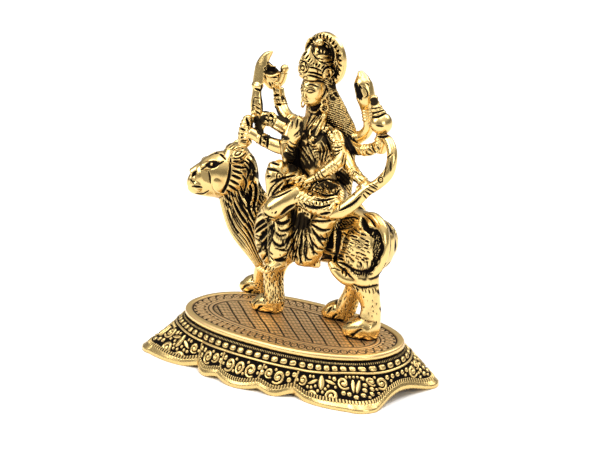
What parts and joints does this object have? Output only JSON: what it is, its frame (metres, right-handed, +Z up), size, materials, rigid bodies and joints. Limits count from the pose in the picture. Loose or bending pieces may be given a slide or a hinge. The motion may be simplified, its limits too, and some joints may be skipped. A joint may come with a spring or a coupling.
{
  "type": "durga figurine",
  "caption": "Many-armed goddess seated on a walking lion, cast in gold-coloured metal with darkened recesses, on a hollow lobed plinth with an oval platform.",
  "frame": {"origin": "middle of the plinth's underside, where the corner lobes stand", "axes": "+Z up, -X the way the lion walks, -Y the way the goddess faces"},
  "size_m": [0.134, 0.0732, 0.1493],
  "materials": {
    "antique_gold": "polished gold-coloured plating with black antique patina in the recesses",
    "antique_gold_plinth": "gold-coloured plating, satin on the platform, with black antique patina in the relief"
  },
  "bodies": {
    "root": {"durga_on_lion": "antique_gold", "plinth": "antique_gold_plinth"}
  },
  "joints": []
}
